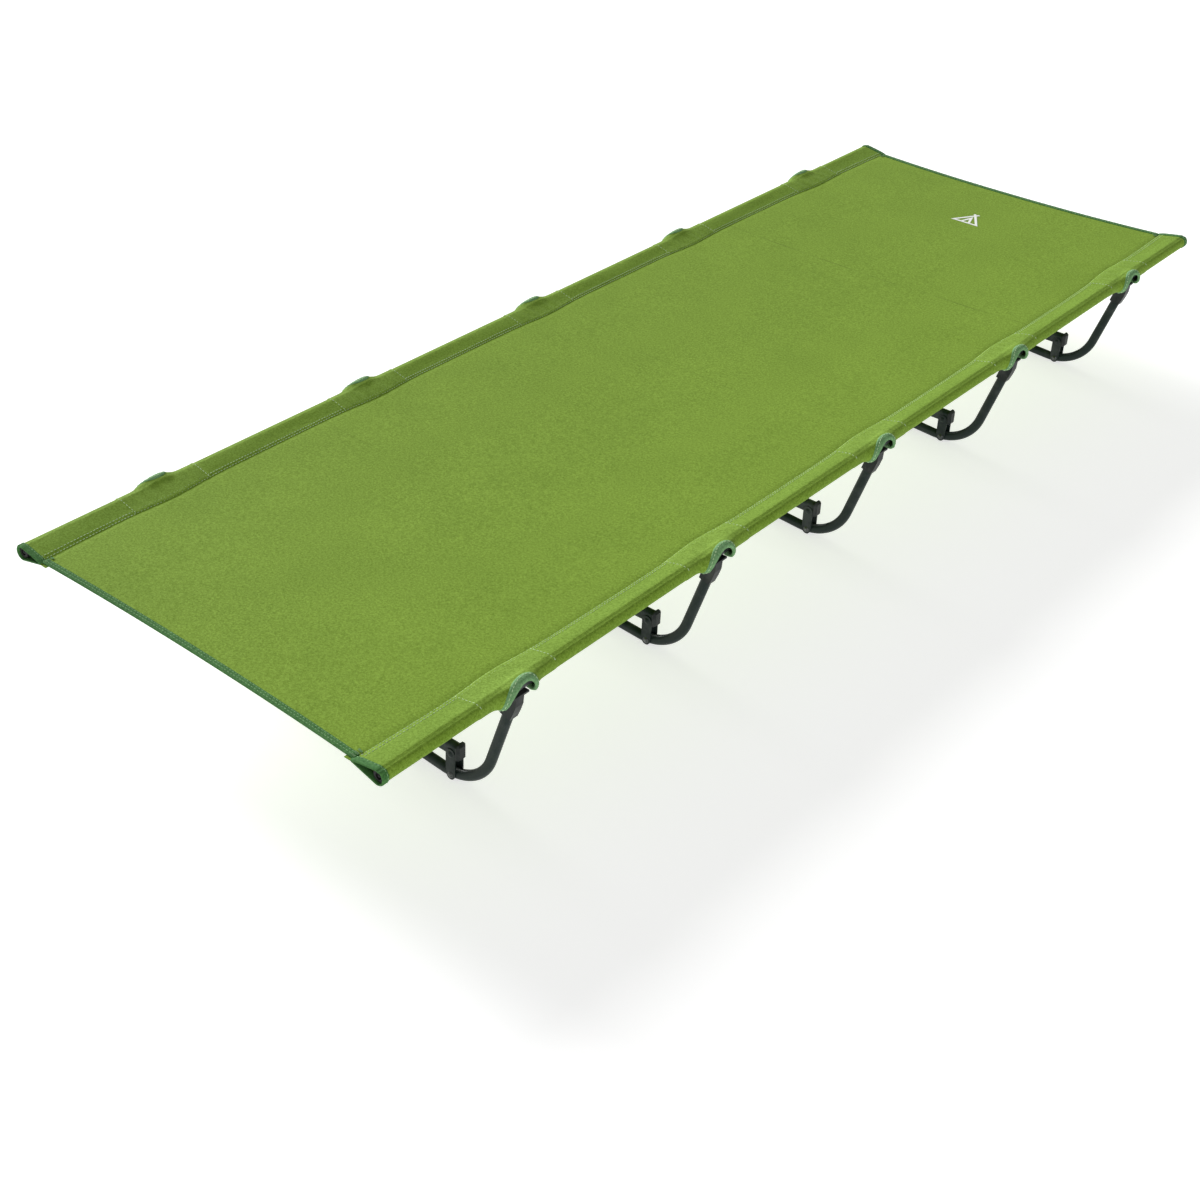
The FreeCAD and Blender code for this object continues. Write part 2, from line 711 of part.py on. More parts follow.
def makeHem(name, side, panel):
    """Tape folded over one end of the panel, following its curve."""
    body = newBody(name)
    section = newSketch(body, "XZ_Plane")
    panelProfile(section, "tape")
    pad(body, section, "length_all")
    ends = newSketch(body, "XY_Plane")
    endCurve(ends, "end_step", "(end_step + end_bow)", True)
    pocket(body, ends, "3 * rail_height")
    rest = newSketch(body, "XY_Plane")
    back, deep = "(end_step + hem_width)", "(end_step + hem_width + end_bow)"
    y0, y1 = f"({side} * ({half_length} - {back}))", f"({side} * ({half_length} - {deep}))"
    other = f"({0 - side} * ({half_length} + 5))"
    bend = f"(({half_width} ^ 2 + end_bow ^ 2) / 2 / end_bow)"
    outline(rest, [
        (f"0 - {half_width}", y0, bend, "0", y1),
        (half_width, y0),
        (half_width, other),
        (f"0 - {half_width}", other),
    ])
    pocket(body, rest, "3 * rail_height")
    return cut(f"{name}_tape", body, panel)


def tapeOn(name, region, cutter):
    """A layer of tape on the sleeve's outside, kept inside a region."""
    layer = sleeveSolid(f"{name}_layer", f"({wrap_r} + tape)", "length_all")
    inside = sleeveSolid(f"{name}_inside", wrap_r, "length_all - 2 * tape")
    piece = common(f"{name}_region", layer, region)
    piece = cut(f"{name}_shell", piece, inside)
    return cut(f"{name}_open", piece, cutter)


def slabs(name, spans):
    """Boxes across one sleeve, each (low, high) along the cot."""
    body = newBody(name)
    plan = newSketch(body, "XY_Plane", rail_z)
    for low, high in spans:
        rectangle(plan, (f"{seam_x} - 5", low), (f"{half_width} + 5", high))
    pad(body, plan, "80")
    return body


# -------------------------------------------------------------------- build all
levers = [makeLever(n) for n in range(1, LEGS + 1)]
for n, lever in enumerate(levers, 1):
    pair("lever_{}_" + str(n), lever)
for n in range(1, LEGS + 1):
    pair("rail_clip_{}_" + str(n), makeClip(n))
pair("lever_plugs_{}", group("tip_plugs", [makeTipPlug(n) for n in range(1, LEGS + 1)]))

for n in range(1, LEGS + 1):
    node(f"crossbar_{n}", makeCrossbar(n))
pair("bracket_plates_{}", group("plates", [makePlates(n) for n in range(1, LEGS + 1)]))


def bothSides(label, pieces):
    """One node for the same small piece at all ten lever ends."""
    node(label, group(f"{label}_all", pieces + [mirrored(piece) for piece in pieces]))


bothSides("bar_rivets", [makeRivet("bar_rivet", n, rivet_z) for n in range(1, LEGS + 1)])
bothSides("pivot_rivets", [makeRivet("pivot_rivet", n, pivot_z) for n in range(1, LEGS + 1)])
bothSides("crossbar_caps", [makeCap(n) for n in range(1, LEGS + 1)])
bothSides("arm_catches", [makeCatch(n) for n in range(1, LEGS + 1)])

tube_length = f"((2 * ({rail_end_y} - plug_head) - {SECTIONS - 1} * section_gap) / {SECTIONS})"
tube_step = f"({tube_length} + section_gap)"
inner_r = "(rail_dia / 2 - rail_wall)"
ferrules = []
for n in range(1, SECTIONS + 1):
    middle = f"({n - (SECTIONS + 1) / 2} * {tube_step})"
    pair("rail_{}_" + str(n), makeTube(f"tube_{n}", "rail_dia / 2", inner_r, tube_length, middle))
    if n < SECTIONS:
        joint = f"({n - SECTIONS / 2} * {tube_step})"
        ferrules.append(makeTube(f"ferrule_{n}", inner_r, f"({inner_r} - rail_wall)", "ferrule_length", joint))
pair("rail_ferrules_{}", group("ferrules", ferrules))
pair("rail_end_plugs_{}", group("end_plugs", [makeEndPlug("end_plug_foot", -1), makeEndPlug("end_plug_head", 1)]))
pair("shock_cord_{}", makeCord())

openings = archSolid("openings", "0")
sleeve = cut("sleeve_open", makeSleeve(), openings)
pair("sleeve_{}", sleeve)
borders = archSolid("borders", "binding_width")
pair("cutout_bindings_{}", tapeOn("binding", borders, openings))
patch_spans = [(f"{legY(n)} - patch_length / 2", f"{legY(n)} + patch_length / 2") for n in range(1, LEGS + 1)]
pair("sleeve_patches_{}", tapeOn("patch", slabs("patch_slabs", patch_spans), borders))
end_spans = [(f"0 - {half_length} - 5", f"0 - {half_length} + hem_width"),
             (f"{half_length} - hem_width", f"{half_length} + 5")]
mouth = makeRod("mouth", bore_r, "length_all + 10")
pair("sleeve_end_tapes_{}", tapeOn("end_tape", slabs("end_slabs", end_spans), mouth))

panel = makePanel()
node("bed_panel", panel)
node("foot_hem", makeHem("foot_end", -1, panel))
node("head_hem", makeHem("head_end", 1, panel))

# ------------------------------------------------------------- check and write
doc.recompute()
for feature in doc.Objects:
    if any(word in ("Invalid", "Error") for word in feature.State):
        raise RuntimeError(f"{feature.Label} failed: {feature.State}")
os.makedirs("parts", exist_ok=True)
for feature in nodes:
    shape = feature.Shape
    if shape.isNull() or not shape.isValid() or not shape.Solids:
        raise RuntimeError(f"{feature.Label} has no valid solid")
    shape.exportStep(f"parts/{feature.Label}.step")
    box = shape.BoundBox
    print(f"{feature.Label:26s} {len(shape.Solids):3d} {shape.Volume:12.1f} "
          f"x {box.XMin:8.2f} {box.XMax:8.2f} y {box.YMin:9.2f} {box.YMax:9.2f} z {box.ZMin:7.2f} {box.ZMax:7.2f}")
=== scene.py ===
import bpy
import math
import numpy as np
from mathutils import Matrix, Vector


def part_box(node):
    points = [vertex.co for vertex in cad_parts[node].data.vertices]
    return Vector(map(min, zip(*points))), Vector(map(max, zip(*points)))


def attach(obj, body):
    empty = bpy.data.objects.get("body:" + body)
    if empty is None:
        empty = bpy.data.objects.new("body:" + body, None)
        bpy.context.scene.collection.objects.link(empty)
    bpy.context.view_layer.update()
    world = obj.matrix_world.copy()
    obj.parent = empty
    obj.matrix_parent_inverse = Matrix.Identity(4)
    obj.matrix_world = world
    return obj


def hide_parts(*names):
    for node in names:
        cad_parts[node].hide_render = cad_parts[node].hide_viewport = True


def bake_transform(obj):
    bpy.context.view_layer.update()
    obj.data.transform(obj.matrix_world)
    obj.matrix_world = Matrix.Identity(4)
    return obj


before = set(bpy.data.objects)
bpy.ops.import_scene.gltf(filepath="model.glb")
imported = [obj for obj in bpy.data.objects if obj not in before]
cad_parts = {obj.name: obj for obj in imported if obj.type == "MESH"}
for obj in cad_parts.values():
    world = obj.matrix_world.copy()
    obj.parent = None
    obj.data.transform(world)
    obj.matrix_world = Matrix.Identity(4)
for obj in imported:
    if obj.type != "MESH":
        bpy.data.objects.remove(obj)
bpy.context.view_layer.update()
print("frame loaded")

# camera first: its place and directions are in the cot's own frame, metres
cameraSettings = {
    "place": (1.3998, -1.9771, 1.4299),
    "turn": 42.11,      # degrees round the cot from the foot end
    "tilt": 29.91,      # degrees above the horizon
    "roll": 0.53,
    "lens": 55.79,
    "shift": (0.0870, -0.125),
}


def addCamera(settings):
    turn, tilt, roll = (math.radians(settings[k]) for k in ("turn", "tilt", "roll"))
    back = Vector((math.sin(turn) * math.cos(tilt), -math.cos(turn) * math.cos(tilt), math.sin(tilt)))
    right = Vector((math.cos(turn), math.sin(turn), 0))
    up = back.cross(right)
    level, upright = right.copy(), up.copy()
    right = level * math.cos(roll) + upright * math.sin(roll)
    up = upright * math.cos(roll) - level * math.sin(roll)
    camera = bpy.data.objects.new("camera", bpy.data.cameras.new("camera"))
    bpy.context.collection.objects.link(camera)
    place = Matrix((right, up, back)).transposed().to_4x4()
    place.translation = Vector(settings["place"])
    camera.matrix_world = place
    camera.data.lens = settings["lens"]
    camera.data.sensor_width = 36
    camera.data.shift_x, camera.data.shift_y = settings["shift"]
    camera.data.clip_end = 50
    bpy.context.scene.camera = camera


addCamera(cameraSettings)

# places read from the frame
railLow, railHigh = (np.array(c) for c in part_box("rail_right_2"))
sleeveLow, sleeveHigh = (np.array(c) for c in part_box("sleeve_right"))
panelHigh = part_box("bed_panel")[1]
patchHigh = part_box("sleeve_patches_right")[1]
railX, railZ = (railLow[0] + railHigh[0]) / 2, (railLow[2] + railHigh[2]) / 2
wrapRadius = sleeveHigh[0] - railX
seamX, seamTop = sleeveLow[0], panelHigh[2]
sleeveEnd = sleeveHigh[1]
legYs = [sum(c[1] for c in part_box(f"rail_clip_right_{n}")) / 2 for n in range(1, 6)]
patchHalf = patchHigh[1] - legYs[-1]

cloth = {
    "thick": 0.0011,
    "panelSag": 0.005,        # in the middle of the cot
    "panelSagAtEnds": 0.003,
    "endBow": 0.008,          # how far the ends draw in
    "endBack": 0.0035,        # panel end behind the sleeve end
    "groove": 0.0009,         # crease along the top of the rail
    "welt": 0.0005,           # swelling outside the crease
    "seamValley": 0.0008,
    "puckers": 0.0006,
    "allowance": 0.011,       # lower layer past the seam
    "seamAtEnds": 0.272,
    "seamDraw": 0.010,        # seam further out away from the ends
    "seamPull": 0.005,        # and drawn in again at each leg
}
cutout = {
    "halfLength": 0.0238,
    "shift": -0.0035,         # along the cot
    "level": -0.0090,         # widest line, below the rail's outer line
    "rise": 0.0152,
    "drop": 0.0200,
    "skew": 0.0100,
    "flare": 0.0065,          # cloth off the rail at the cut-out's edge
    "flareReach": 0.0095,
}
binding = {"width": 0.0068, "thick": 0.0014, "loopSteps": 96}
hem = {"width": 0.0086, "thick": 0.0009}
stitch = {"length": 0.0034, "pitch": 0.0050, "width": 0.0009, "height": 0.0005}


def makeObject(name, points, faces, smooth=True):
    mesh = bpy.data.meshes.new(name)
    mesh.from_pydata(np.asarray(points).tolist(), [], np.asarray(faces).tolist())
    mesh.polygons.foreach_set("use_smooth", [smooth] * len(mesh.polygons))
    mesh.update()
    piece = bpy.data.objects.new(name, mesh)
    bpy.context.collection.objects.link(piece)
    return piece


def gridFaces(rows, columns, closeRows=False, closeColumns=False, start=0):
    # quads of a rows by columns grid of points, each way open or closed
    r = np.arange(rows if closeRows else rows - 1)
    c = np.arange(columns if closeColumns else columns - 1)
    r, c = np.meshgrid(r, c, indexing="ij")
    r2, c2 = (r + 1) % rows, (c + 1) % columns
    quads = np.stack([r * columns + c, r2 * columns + c, r2 * columns + c2, r * columns + c2], -1)
    return quads.reshape(-1, 4) + start


def joinGrids(grids):
    # several (points, faces) sets as one
    points, faces, count = [], [], 0
    for p, f in grids:
        p = np.asarray(p).reshape(-1, 3)
        points.append(p)
        faces.append(np.asarray(f) + count)
        count += len(p)
    return np.concatenate(points), np.concatenate(faces)


def onSide(points, faces, side):
    # the right side's shape, or its mirror image with its faces turned back
    points = np.asarray(points).reshape(-1, 3).copy()
    faces = np.asarray(faces)
    if side < 0:
        points[:, 0] *= -1
        faces = faces[:, ::-1]
    return points, faces


def addThickness(piece, thick, weld=False):
    if weld:
        joiner = piece.modifiers.new("weld", "WELD")
        joiner.merge_threshold = 0.00002
    shell = piece.modifiers.new("thickness", "SOLIDIFY")
    shell.thickness = thick
    shell.offset = -1
    shell.use_even_offset = False
    shell.use_rim = True
    with bpy.context.temp_override(object=piece, active_object=piece):
        for modifier in list(piece.modifiers):
            bpy.ops.object.modifier_apply(modifier=modifier.name)
    piece.data.set_sharp_from_angle(angle=math.radians(50))
    return piece


# the sleeve's section: a straight top layer from the seam to the round of the
# rail, the round, and a straight lower layer back to the seam
def tangentAngle(rise, upper):
    run = railX - seamX
    turned = math.acos(wrapRadius / math.hypot(run, rise))
    return math.pi - math.atan(rise / run) + (-turned if upper else turned)


topAngle = tangentAngle(seamTop - railZ, True)
lowAngle = tangentAngle(seamTop - 0.0024 - railZ, False)
topStart = np.array([seamX, seamTop])
lowEnd = np.array([seamX, seamTop - 0.0024])
railCentre = np.array([railX, railZ])
topTouch = railCentre + wrapRadius * np.array([math.cos(topAngle), math.sin(topAngle)])
lowTouch = railCentre + wrapRadius * np.array([math.cos(lowAngle), math.sin(lowAngle)])
topRun = np.linalg.norm(topTouch - topStart)
lowRun = np.linalg.norm(lowEnd - lowTouch)
roundRun = wrapRadius * (topAngle + 2 * math.pi - lowAngle)
outerLine = topRun + wrapRadius * topAngle      # the rail's outermost line
sleeveRun = topRun + roundRun + lowRun


def drawSeam(points):
    # the seam runs a little further out between the legs than at them and at the
    # ends; cloth within reach of it, towards the middle and towards the rail, follows
    x, y = points[..., 0], points[..., 1]
    line = cloth["seamAtEnds"] + cloth["seamDraw"] * (1 - np.exp(-(sleeveEnd + 0.001 - np.abs(y)) / 0.25))
    line = line - cloth["seamPull"] * sum(np.exp(-((y - c) / 0.05) ** 2) for c in legYs)
    inner = np.clip((x - 0.12) / (seamX - 0.12), 0, 1)
    outer = np.clip((0.303 - x) / (0.303 - seamX), 0, 1)
    share = np.where(x < seamX, inner ** 2 * (3 - 2 * inner), outer)
    points[..., 0] = x + share * (line - seamX)
    return points


def flareLift(s, y):
    # the cloth stands off the rail round the upper part of each cut-out: a bell
    # curve of the distance from the cut-out's line, fading out under the rail
    up = outerLine - s
    lift = np.zeros(s.shape)
    line = cutoutLine(loopAngles)
    for c in legYs:
        near = np.abs(y - c) < 0.075
        aside = y[near][:, None] - c - line[None, :, 0]
        above = up[near][:, None] - line[None, :, 1]
        gap = np.hypot(aside, above).min(1)
        fade = np.clip((up[near] + 0.015) / 0.011, 0, 1)
        bell = np.exp(-(gap / cutout["flareReach"]) ** 2)
        lift[near] += cutout["flare"] * bell * fade ** 2 * (3 - 2 * fade)
    return lift


def sleevePoint(s, y, lift=0.0):
    # s is the way round the section from the seam, y along the cot; the point is
    # moved off the cloth by lift along its normal, and the cloth itself dips along
    # its crease and at the seam and puckers a little near the cut-outs
    s, y, lift = np.broadcast_arrays(np.asarray(s, float), np.asarray(y, float), np.asarray(lift, float))
    s, y, lift = s.copy(), y.copy(), lift + flareLift(s, y)
    angle = topAngle - np.clip(s - topRun, 0, roundRun) / wrapRadius
    normal = np.stack([np.cos(angle), np.sin(angle)], -1)
    onTop = topStart + (topTouch - topStart) * (np.minimum(s, topRun) / topRun)[..., None]
    onRound = railCentre + wrapRadius * normal
    after = np.maximum(s - topRun - roundRun, 0) / lowRun
    onLow = lowTouch + (lowEnd - lowTouch) * after[..., None]
    pastRound = (s > topRun + roundRun)[..., None]
    spot = np.where((s < topRun)[..., None], onTop, np.where(pastRound, onLow, onRound))
    crease = topRun + 0.0040
    dip = cloth["groove"] * np.exp(-((s - crease) / 0.0016) ** 2)
    dip = dip - cloth["welt"] * np.exp(-((s - crease - 0.0042) / 0.0026) ** 2)
    dip = dip + cloth["seamValley"] * np.exp(-(s / 0.0028) ** 2)
    near = sum(np.exp(-((y - c) / 0.052) ** 4) for c in legYs)
    wave = np.sin(y * 310 + 1.7 * np.sin(y * 47)) * np.sin(math.pi * np.clip(s / topRun, 0, 1))
    dip = dip + cloth["puckers"] * (0.35 + near) * 0.6 * wave * (s < topRun)
    slow = 0.0005 * np.sin(y * 23 + 0.6) * np.sin(math.pi * np.clip(s / topRun, 0, 1))
    lift = lift - dip - slow
    spot = spot + normal * lift[..., None]
    return drawSeam(np.stack([spot[..., 0], y, spot[..., 1]], -1))


def sleeveNormal(s):
    angle = topAngle - np.clip(np.asarray(s, float) - topRun, 0, roundRun) / wrapRadius
    return np.stack([np.cos(angle), np.zeros_like(angle), np.sin(angle)], -1)


def panelHeight(x, y):
    # a shallow arc across the cot, flatter near the ends, with long soft waves
    # along it and short puckers where the legs pull
    across = 1 - (x / seamX) ** 2
    along = np.clip(np.abs(y) / sleeveEnd, 0, 1) ** 4
    sag = cloth["panelSag"] + (cloth["panelSagAtEnds"] - cloth["panelSag"]) * along
    height = seamTop - sag * across
    edge = np.clip(np.abs(x) / seamX, 0, 1)
    height = height - cloth["seamValley"] * np.exp(-((seamX - np.abs(x)) / 0.0035) ** 2)
    soft = np.sin(y * 7.3 + x * 5.1 + 0.8) + 0.6 * np.sin(y * 13.7 - x * 9.2)
    height = height + 0.00035 * soft * across
    pull = sum(np.exp(-((y - c) / 0.085) ** 2) for c in legYs)
    rib = np.sin((y + 0.22 * (seamX - np.abs(x))) * 118) * np.exp(-((seamX - np.abs(x) - 0.030) / 0.028) ** 2)
    height = height + 0.00035 * pull * rib * edge * (1 - edge ** 20)
    return height


def panelEnd(x):
    # the end's line, drawn inwards in the middle
    return sleeveEnd - cloth["endBack"] - cloth["endBow"] * (1 - (x / seamX) ** 2)


def panelPoint(x, y, lift=0.0):
    x, y = np.broadcast_arrays(np.asarray(x, float), np.asarray(y, float))
    step = 0.002
    slopeX = (panelHeight(x + step, y) - panelHeight(x - step, y)) / (2 * step)
    slopeX = np.where(np.abs(x) < seamX - step, slopeX, 0)
    height = panelHeight(x, y)
    tilt = np.sqrt(1 + slopeX ** 2)
    return drawSeam(np.stack([x - lift * slopeX / tilt, y, height + lift / tilt], -1))


# cut-outs: a closed line in the sleeve's own plane, along the cot and up round
# the rail from its outermost line
loopAngles = np.linspace(0, 2 * math.pi, binding["loopSteps"], endpoint=False)


def cutoutLine(angles, grow=0.0):
    c, s = np.cos(angles), np.sin(angles)
    along = cutout["shift"] + cutout["halfLength"] * c + np.where(s > 0, cutout["skew"] * s ** 2, 0)
    up = cutout["level"] + np.where(s > 0, cutout["rise"] * s, cutout["drop"] * s)
    fine = np.stack([along, up], -1)
    if grow == 0:
        return fine
    ahead = cutoutLine(angles + 0.01) - cutoutLine(angles - 0.01)
    ahead /= np.linalg.norm(ahead, axis=-1, keepdims=True)
    return fine + grow * np.stack([ahead[..., 1], -ahead[..., 0]], -1)


def openingSpan(offsets, grow):
    # how far the opening reaches up and down at each place along it
    upper = cutoutLine(np.linspace(math.pi, 0, 400), grow)
    lower = cutoutLine(np.linspace(math.pi, 2 * math.pi, 400), grow)
    inside = np.abs(offsets - cutout["shift"]) < cutout["halfLength"] + grow
    up = np.where(inside, np.interp(offsets, upper[:, 0], upper[:, 1]), cutout["level"])
    down = np.where(inside, np.interp(offsets, lower[:, 0], -lower[:, 1]), -cutout["level"])
    return up, down


def makeSleeve(side, name):
    grow = 0.0012
    half = cutout["halfLength"] + grow
    plain = np.linspace(-sleeveEnd, sleeveEnd, 300)
    fine = cutout["shift"] + half * np.sin(np.linspace(-math.pi / 2, math.pi / 2, 31))
    for c in legYs:
        plain = plain[np.abs(plain - c - cutout["shift"]) > half + 0.002]
    ys = np.sort(np.concatenate([plain] + [c + fine for c in legYs]))
    nearest = ys[:, None] - np.array(legYs)[None]
    offsets = nearest[np.arange(len(ys)), np.abs(nearest).argmin(1)]
    up, down = openingSpan(offsets, grow)
    part = np.linspace(0, 1, 34)
    topS = part[:, None] * (outerLine - up)[None]
    lowS = (outerLine + down)[None] + part[:, None] * (sleeveRun - outerLine - down)[None]
    top = sleevePoint(topS, ys[None])
    low = sleevePoint(lowS, ys[None])
    lap = np.linspace(0, cloth["allowance"], 5)[1:, None]
    flat = sleevePoint(np.full((1, len(ys)), sleeveRun), ys[None])
    lapped = np.repeat(flat, len(lap), 0)
    lapped[..., 0] -= lap
    lapped[..., 2] -= 0.0004 + 0.02 * lap
    low = np.concatenate([low, lapped])
    n = len(ys)
    points, faces = joinGrids([(top, gridFaces(len(top), n)), (low, gridFaces(len(low), n))])
    piece = makeObject(name, *onSide(points, faces, side))
    addThickness(piece, cloth["thick"], weld=True)
    return piece


def makeBindings(side, name):
    # tape folded round each cut-out's edge: it stands on the cloth, rounds the
    # edge and comes back underneath
    w, t, c = binding["width"], binding["thick"], cloth["thick"]
    profile = [(w, 0.0), (w - 0.0002, t * 0.75), (w - 0.0009, t), (w * 0.75, t * 1.05), (w * 0.5, t * 1.15),
               (w * 0.25, t * 1.3), (0.0008, t * 1.2), (-0.0004, t * 0.6), (-0.0008, -c * 0.5),
               (-0.0004, -c - t * 0.5), (0.0008, -c - t), (w * 0.5, -c - t), (w - 0.0009, -c - t), (w, -c)]
    profile = np.array(profile)
    pieces = []
    for y in legYs:
        waves = 1 + 0.10 * np.sin(loopAngles * 23 + y * 40) + 0.06 * np.sin(loopAngles * 41)
        lines = np.stack([cutoutLine(loopAngles, g) for g in profile[:, 0]], 1)
        lift = profile[None, :, 1] * np.where(profile[None, :, 1] > 0, waves[:, None], 1)
        points = sleevePoint(outerLine - lines[..., 1], y + lines[..., 0], lift)
        pieces.append((points, gridFaces(len(loopAngles), len(profile), True, True)))
    return makeObject(name, *onSide(*joinGrids(pieces), side))


def makePatches(side, name):
    # a second layer round each cut-out, seam to seam, a little proud of the sleeve
    pieces = []
    lift = 0.00055
    for c in legYs:
        half = cutout["halfLength"] + 0.004
        ys = np.concatenate([np.linspace(-patchHalf, cutout["shift"] - half, 14),
                             cutout["shift"] + half * np.sin(np.linspace(-1.5707, 1.5707, 31))[1:-1],
                             np.linspace(cutout["shift"] + half, patchHalf, 14)])
        up, down = openingSpan(ys, 0.004)
        part = np.linspace(0, 1, 30)
        rounding = np.clip((patchHalf - np.abs(ys)) / 0.0012, 0, 1) ** 0.5
        topS = 0.0006 + part[:, None] * (outerLine - up - 0.0006)[None]
        lowS = (outerLine + down)[None] + part[:, None] * (sleeveRun - outerLine - down)[None]
        edge = np.clip(part * 29, 0, 1)[:, None]
        top = sleevePoint(topS, (c + ys)[None], lift * rounding[None] * edge)
        low = sleevePoint(lowS, (c + ys)[None], lift * rounding[None])
        n = len(ys)
        pieces += [(top, gridFaces(len(top), n)), (low, gridFaces(len(low), n))]
    piece = makeObject(name, *onSide(*joinGrids(pieces), side))
    return addThickness(piece, 0.0004, weld=True)


def makePanelHalf(side, name):
    x = np.linspace(0, seamX, 58)
    part = np.linspace(-1, 1, 380)
    xs, parts = np.meshgrid(x, part, indexing="ij")
    points = panelPoint(xs, parts * panelEnd(xs))
    piece = makeObject(name, *onSide(points, gridFaces(len(x), len(part)), side))
    return addThickness(piece, cloth["thick"])


def foldedTape(overhang, corner, under):
    # a hem tape's section, across and up: flat on the cloth, round its edge and back
    # underneath; corner and under are shares of the tape's thickness
    w, t, c = hem["width"], hem["thick"], cloth["thick"]
    upper = [(w, 0.0), (w - 0.0002, t * 0.7), (w - 0.001, t), (w * 0.6, t), (w * 0.2, t * 1.15),
             (0.0, t * 0.9)]
    edge = [(-overhang, t * 0.2), (-overhang - 0.0002, -c * 0.5), (-overhang, -c - t * 0.2)]
    lower = [(0.0, -c - t * corner), (w * 0.5, -c - t * under), (w - 0.001, -c - t * under), (w, -c)]
    return np.array(upper + edge + lower)


def makeHem(side, end, name):
    # tape folded over the panel's end, following its drawn-in line
    profile = foldedTape(0.0009, 0.9, 1.0)
    x = np.linspace(0, seamX, 90)
    wave = 1 + 0.12 * np.sin(x * 610 + end) + 0.08 * np.sin(x * 1370)
    lift = profile[None, :, 1] * np.where(profile[None, :, 1] > 0, wave[:, None], 1)
    points = panelPoint(x[:, None], end * (panelEnd(x)[:, None] - profile[None, :, 0]), lift)
    last = points[-1:].mean(1, keepdims=True).repeat(len(profile), 1)
    points = np.concatenate([points, last])
    faces = gridFaces(len(points), len(profile), False, True)
    if end > 0:
        faces = faces[:, ::-1]
    return makeObject(name, *onSide(points, faces[:, ::-1], side))


def makeEndTapes(side, name):
    # tape folded over the sleeve's open ends, out of the seam and round the rail
    profile = foldedTape(0.0006, 0.6, 0.6)
    s = np.concatenate([np.linspace(-0.001, topRun, 22)[:-1], np.linspace(topRun, topRun + roundRun, 44),
                        np.linspace(topRun + roundRun, sleeveRun, 20)[1:]])
    pieces = []
    for end in (-1, 1):
        wave = 1 + 0.12 * np.sin(s * 690 + end)
        lift = profile[None, :, 1] * np.where(profile[None, :, 1] > 0, wave[:, None], 1)
        points = sleevePoint(s[:, None], end * (sleeveEnd - profile[None, :, 0]), lift)
        caps = [points[i:i + 1].mean(1, keepdims=True).repeat(len(profile), 1) for i in (0, len(s) - 1)]
        points = np.concatenate([caps[0], points, caps[1]])
        faces = gridFaces(len(points), len(profile), False, True)
        pieces.append((points, faces if end > 0 else faces[:, ::-1]))
    return makeObject(name, *onSide(*joinGrids(pieces), side))


def stitchRow(centres, normals, along):
    # each stitch is a small rounded bead: two rings of six points and two tips
    ring = np.arange(6) * math.pi / 3
    ups = np.cos(ring) * stitch["height"]
    outs = np.sin(ring) * stitch["width"] / 2
    rings = np.array([(l * stitch["length"], o, u) for l in (-0.32, 0.32) for o, u in zip(outs, ups)])
    tips = np.array([(-stitch["length"] / 2, 0, 0), (stitch["length"] / 2, 0, 0)])
    shape = np.concatenate([rings, tips])
    out = np.cross(normals, along)
    p = (centres[:, None] + along[:, None] * shape[None, :, :1] + out[:, None] * shape[None, :, 1:2]
         + normals[:, None] * shape[None, :, 2:])
    k = np.arange(6)
    k2 = (k + 1) % 6
    body = np.stack([k, k + 6, k2 + 6, k2], -1)
    back = np.stack([np.full(6, 12), k, k2], -1)
    front = np.stack([np.full(6, 13), k2 + 6, k + 6], -1)
    capped = np.concatenate([back, front])
    return p, body, capped


def makeStitches(rows, side, name):
    # rows of (points on the line, normals); beads are spaced evenly along each
    points, faces, count = [], [], 0
    for line, normals in rows:
        line, normals = np.asarray(line), np.asarray(normals)
        gaps = np.linalg.norm(np.diff(line, axis=0), axis=1)
        run = np.concatenate([[0], np.cumsum(gaps)])
        number = max(int(run[-1] / stitch["pitch"]), 1)
        spots = (np.arange(number) + 0.5) * run[-1] / number
        at = np.stack([np.interp(spots, run, line[:, i]) for i in range(3)], -1)
        ahead = np.stack([np.interp(spots + 0.0008, run, line[:, i]) for i in range(3)], -1)
        behind = np.stack([np.interp(spots - 0.0008, run, line[:, i]) for i in range(3)], -1)
        along = ahead - behind
        along /= np.linalg.norm(along, axis=1, keepdims=True) + 1e-12
        normal = np.stack([np.interp(spots, run, normals[:, i]) for i in range(3)], -1)
        normal -= along * (normal * along).sum(1, keepdims=True)
        normal /= np.linalg.norm(normal, axis=1, keepdims=True)
        p, body, capped = stitchRow(at, normal, along)
        for m in range(len(p)):
            points.append(p[m])
            faces += (body + count).tolist() + (capped + count).tolist()
            count += 14
    points = np.concatenate(points)
    if side < 0:
        points = points * np.array([-1, 1, 1])
        faces = [f[::-1] for f in faces]
    mesh = bpy.data.meshes.new(name)
    mesh.from_pydata(points.tolist(), [], faces)
    mesh.polygons.foreach_set("use_smooth", [True] * len(mesh.polygons))
    mesh.update()
    piece = bpy.data.objects.new(name, mesh)
    bpy.context.collection.objects.link(piece)
    return piece


def sleeveRow(s, y, lift=0.0):
    s, y = np.broadcast_arrays(np.asarray(s, float), np.asarray(y, float))
    return sleevePoint(s, y, lift), sleeveNormal(s)


def panelRow(x, y, lift=0.0):
    points = panelPoint(x, y, lift)
    return points, np.broadcast_to(np.array([0.0, 0, 1]), points.shape)


# shader groups shared by the materials
def newGroup(name, inputs, outputs):
    group = bpy.data.node_groups.new(name, "ShaderNodeTree")
    for label, kind, value in inputs:
        socket = group.interface.new_socket(label, in_out="INPUT", socket_type=kind)
        if value is not None:
            socket.default_value = value
    for label, kind in outputs:
        group.interface.new_socket(label, in_out="OUTPUT", socket_type=kind)
    return group, group.nodes.new("NodeGroupInput"), group.nodes.new("NodeGroupOutput")


